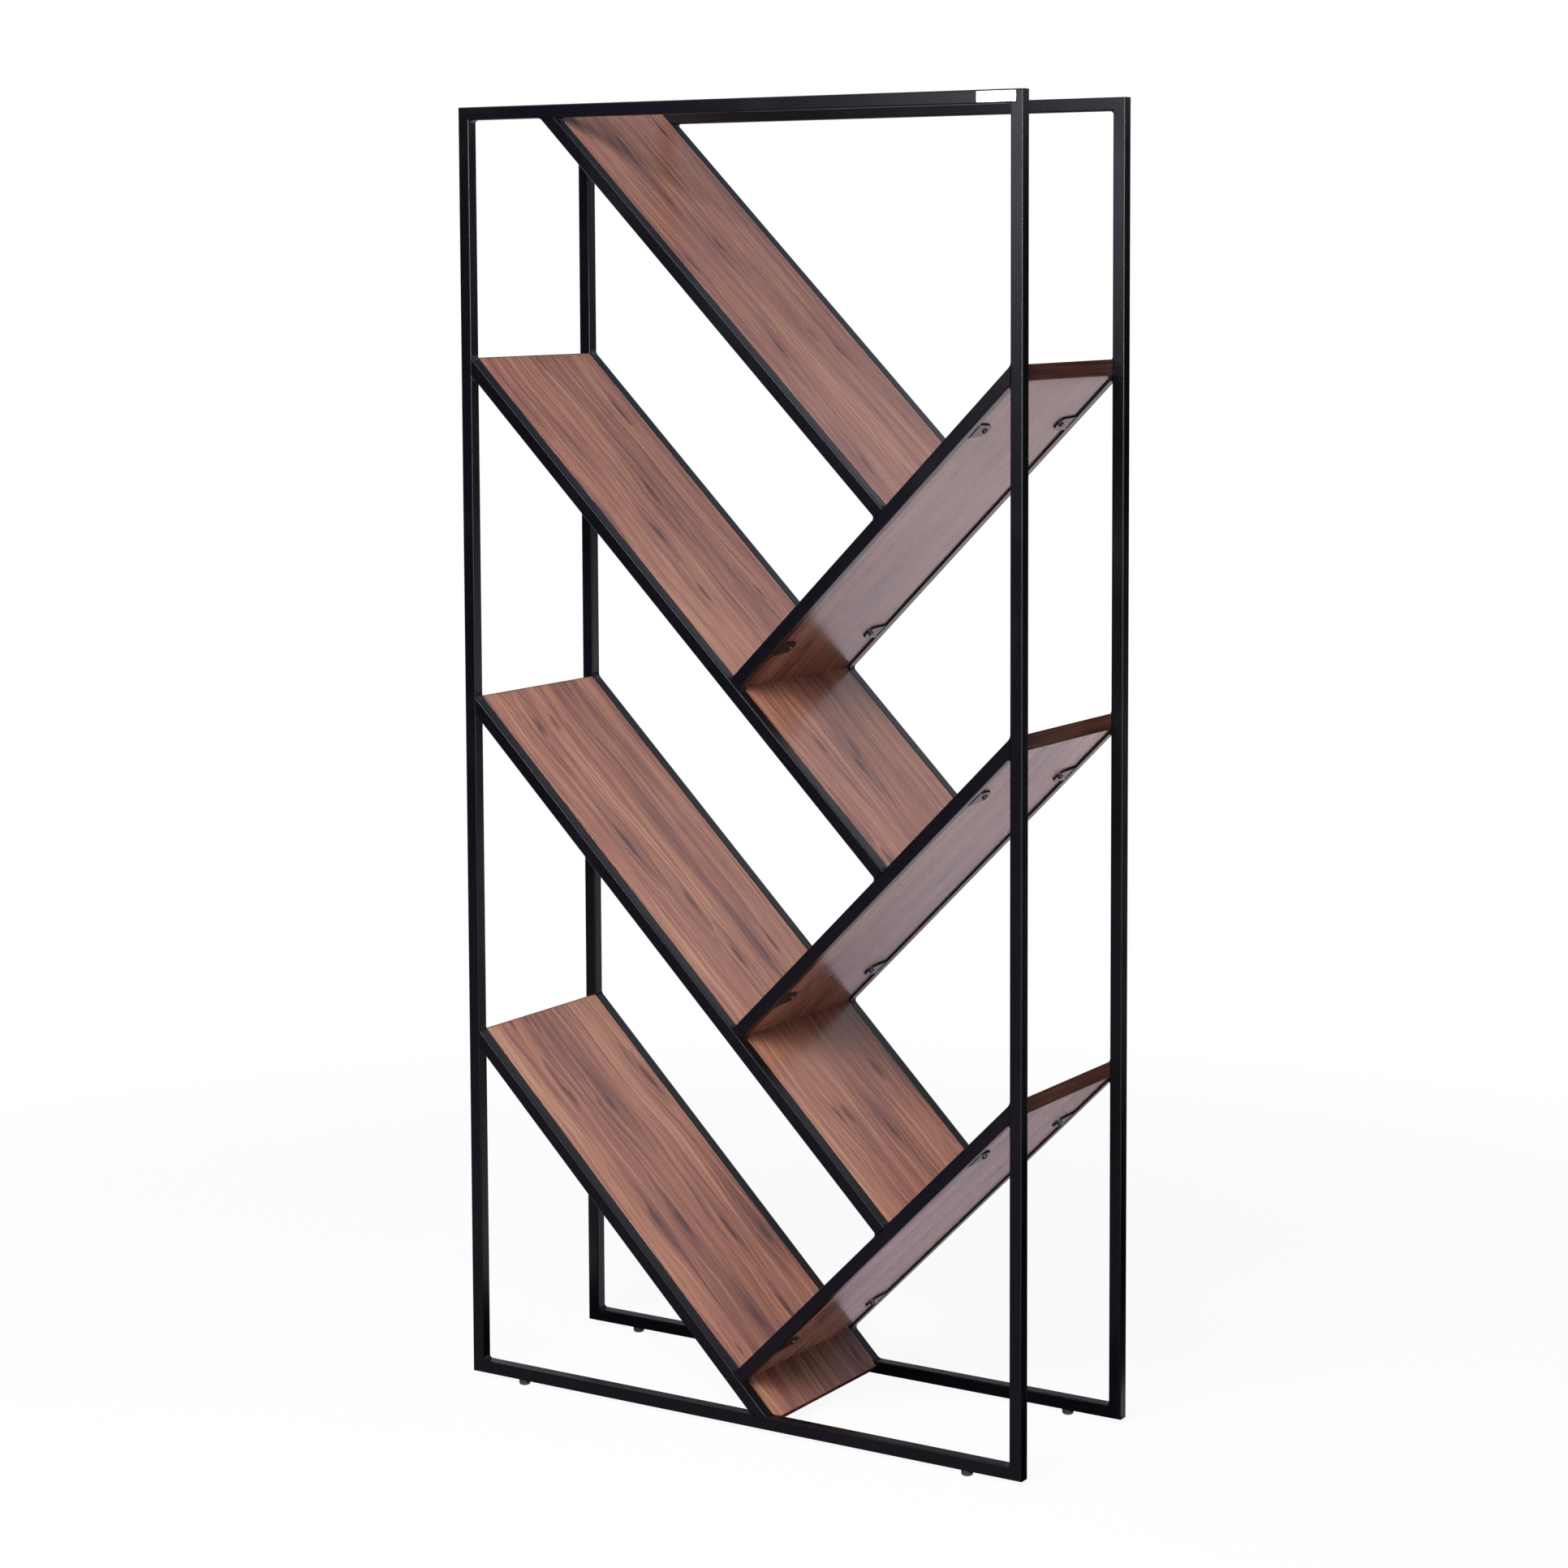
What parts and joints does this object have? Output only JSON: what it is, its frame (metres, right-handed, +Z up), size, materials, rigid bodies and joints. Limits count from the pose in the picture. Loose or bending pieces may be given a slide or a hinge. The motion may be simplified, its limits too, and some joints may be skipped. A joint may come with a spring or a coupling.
{
  "type": "zigzag bookshelf",
  "caption": "Tall open bookshelf: black square-tube frames front and rear carry walnut boards set at 45 degrees in a zigzag, on screw-in glides.",
  "frame": {"origin": "on the floor, in the middle of the width and the depth", "axes": "+X along the width towards the side where the returns meet the uprights, +Y from front to rear, +Z up"},
  "size_m": [0.89, 0.305, 1.808],
  "materials": {
    "powder_coated_tube": "black powder coat, fine texture, satin",
    "powder_coated_tab": "black powder coat, fine texture, satin",
    "walnut_veneer": "walnut veneer, satin lacquer",
    "edge_band": "dark walnut edge band, satin lacquer",
    "screw_steel": "dark zinc",
    "zinc_steel": "bright zinc",
    "glide_plastic": "moulded, matt"
  },
  "bodies": {
    "shelf": {"front_left_upright": "powder_coated_tube", "front_right_upright": "powder_coated_tube", "front_top_rail": "powder_coated_tube", "front_bottom_rail": "powder_coated_tube", "front_top_slope": "powder_coated_tube", "front_upper_slope": "powder_coated_tube", "front_middle_slope": "powder_coated_tube", "front_lower_slope": "powder_coated_tube", "front_upper_return": "powder_coated_tube", "front_middle_return": "powder_coated_tube", "front_lower_return": "powder_coated_tube", "front_weld_fillets": "powder_coated_tube", "rear_left_upright": "powder_coated_tube", "rear_right_upright": "powder_coated_tube", "rear_top_rail": "powder_coated_tube", "rear_bottom_rail": "powder_coated_tube", "rear_top_slope": "powder_coated_tube", "rear_upper_slope": "powder_coated_tube", "rear_middle_slope": "powder_coated_tube", "rear_lower_slope": "powder_coated_tube", "rear_upper_return": "powder_coated_tube", "rear_middle_return": "powder_coated_tube", "rear_lower_return": "powder_coated_tube", "rear_weld_fillets": "powder_coated_tube", "top_slope_board": "walnut_veneer", "top_slope_band": "edge_band", "top_slope_tabs": "powder_coated_tab", "upper_slope_board": "walnut_veneer", "upper_slope_band": "edge_band", "upper_slope_tabs": "powder_coated_tab", "middle_slope_board": "walnut_veneer", "middle_slope_band": "edge_band", "middle_slope_tabs": "powder_coated_tab", "lower_slope_board": "walnut_veneer", "lower_slope_band": "edge_band", "lower_slope_tabs": "powder_coated_tab", "upper_return_board": "walnut_veneer", "upper_return_band": "edge_band", "upper_return_tabs": "powder_coated_tab", "middle_return_board": "walnut_veneer", "middle_return_band": "edge_band", "middle_return_tabs": "powder_coated_tab", "lower_return_board": "walnut_veneer", "lower_return_band": "edge_band", "lower_return_tabs": "powder_coated_tab", "lower_slope_floor_band": "edge_band", "board_screws": "screw_steel", "foot_nuts": "zinc_steel"},
    "front_left_foot": {"front_left_glide": "glide_plastic", "front_left_stud": "zinc_steel"},
    "front_right_foot": {"front_right_glide": "glide_plastic", "front_right_stud": "zinc_steel"},
    "rear_left_foot": {"rear_left_glide": "glide_plastic", "rear_left_stud": "zinc_steel"},
    "rear_right_foot": {"rear_right_glide": "glide_plastic", "rear_right_stud": "zinc_steel"}
  },
  "joints": [
    {"name": "front_left_foot_height", "type": "slide", "parent": "shelf", "child": "front_left_foot", "axis": [0, 0, -1], "range_m": [0, 0.01]},
    {"name": "front_right_foot_height", "type": "slide", "parent": "shelf", "child": "front_right_foot", "axis": [0, 0, -1], "range_m": [0, 0.01]},
    {"name": "rear_left_foot_height", "type": "slide", "parent": "shelf", "child": "rear_left_foot", "axis": [0, 0, -1], "range_m": [0, 0.01]},
    {"name": "rear_right_foot_height", "type": "slide", "parent": "shelf", "child": "rear_right_foot", "axis": [0, 0, -1], "range_m": [0, 0.01]}
  ]
}
